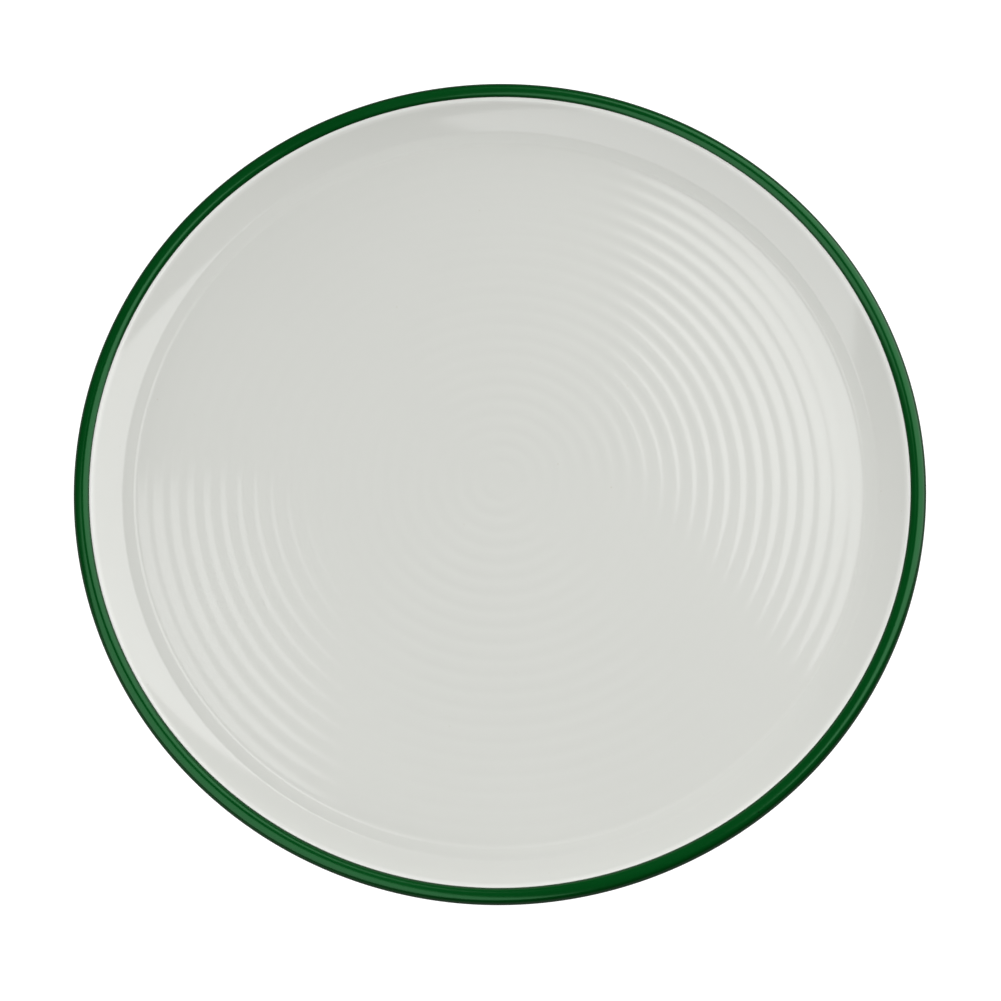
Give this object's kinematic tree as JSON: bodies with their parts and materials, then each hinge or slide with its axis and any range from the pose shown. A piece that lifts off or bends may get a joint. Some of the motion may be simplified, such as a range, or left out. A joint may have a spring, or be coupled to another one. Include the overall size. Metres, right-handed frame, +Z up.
{
  "type": "dinner plate",
  "caption": "Round white glazed china dinner plate with concentric throwing rings on its dished floor, a short steep wall, a green banded rolled lip and a foot ring.",
  "frame": {"origin": "centre of the circle that the foot ring rests on, on the table plane", "axes": "+Z up, out of the eating side, along the axis of revolution; X and Y are equivalent radial directions"},
  "size_m": [0.27, 0.27, 0.0187],
  "materials": {
    "bare_porcelain": "unglazed fired porcelain, matte",
    "white_glaze": "clear gloss glaze over white china",
    "green_enamel": "deep green gloss enamel"
  },
  "bodies": {
    "root": {"porcelain_body": "bare_porcelain", "face_glaze": "white_glaze", "rim_band": "green_enamel", "back_glaze": "white_glaze", "foot_well_glaze": "white_glaze"}
  },
  "joints": []
}
